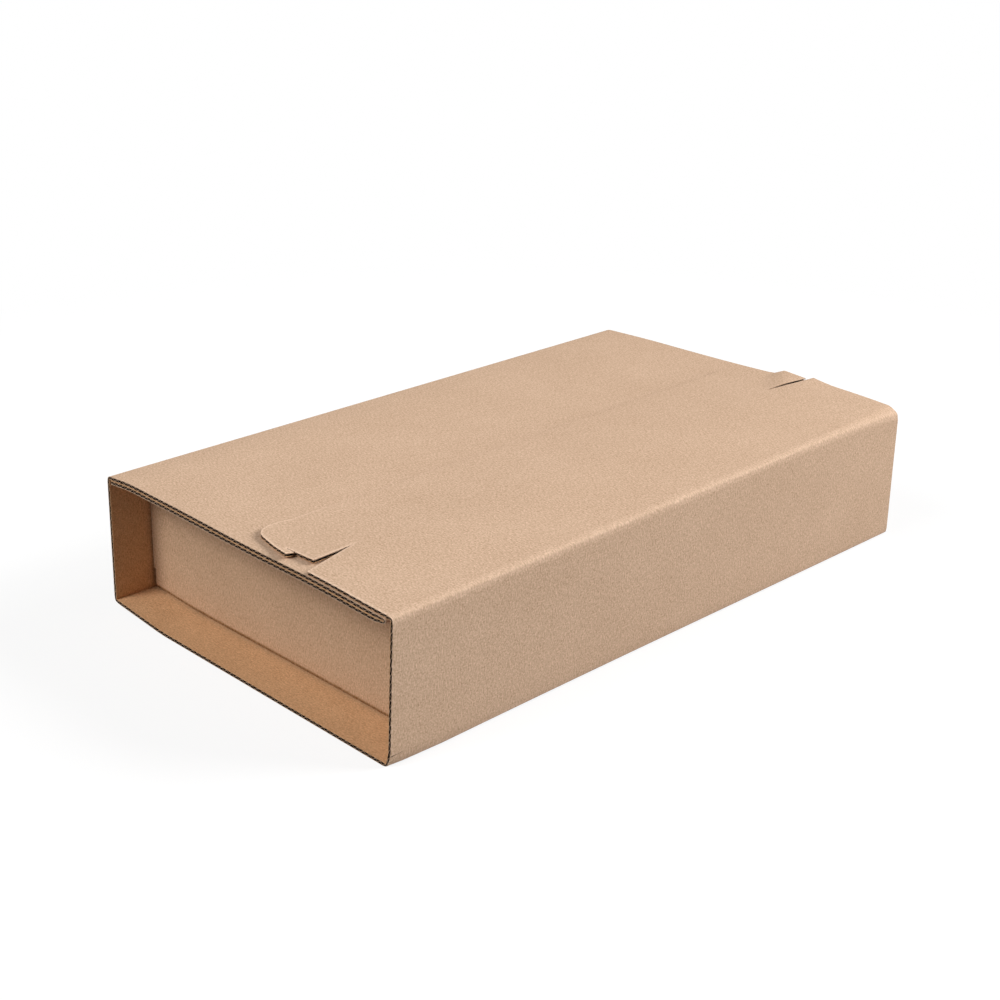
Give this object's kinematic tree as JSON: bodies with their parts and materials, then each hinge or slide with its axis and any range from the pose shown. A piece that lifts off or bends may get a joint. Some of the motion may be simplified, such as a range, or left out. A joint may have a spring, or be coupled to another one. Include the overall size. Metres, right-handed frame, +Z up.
{
  "type": "book wrap mailer",
  "caption": "Corrugated card wrap mailer for books: open buffer space at each end, recessed end walls, doubled cover and a closing flap with hooked locking tabs.",
  "frame": {"origin": "middle of the underside, on the surface that the mailer stands on", "axes": "+Y along the mailer from one open end to the other, +X towards the wall that carries the closing flap, +Z up"},
  "size_m": [0.176, 0.3, 0.0597],
  "materials": {
    "kraft_outer": "uncoated natural brown kraft facing, matt, with fine fibre specks",
    "kraft_inner": "uncoated natural brown kraft facing, matt and slightly blotchy"
  },
  "bodies": {
    "wrap": {"outer_wrap": "kraft_outer", "inner_sheet": "kraft_inner"},
    "flap": {"closing_flap": "kraft_outer"}
  },
  "joints": [
    {"name": "closing_flap_fold", "type": "hinge", "parent": "wrap", "child": "flap", "pos_m": [0.0864, 0, 0.05815], "axis": [0, 1, 0], "range_deg": [0, 180]}
  ]
}
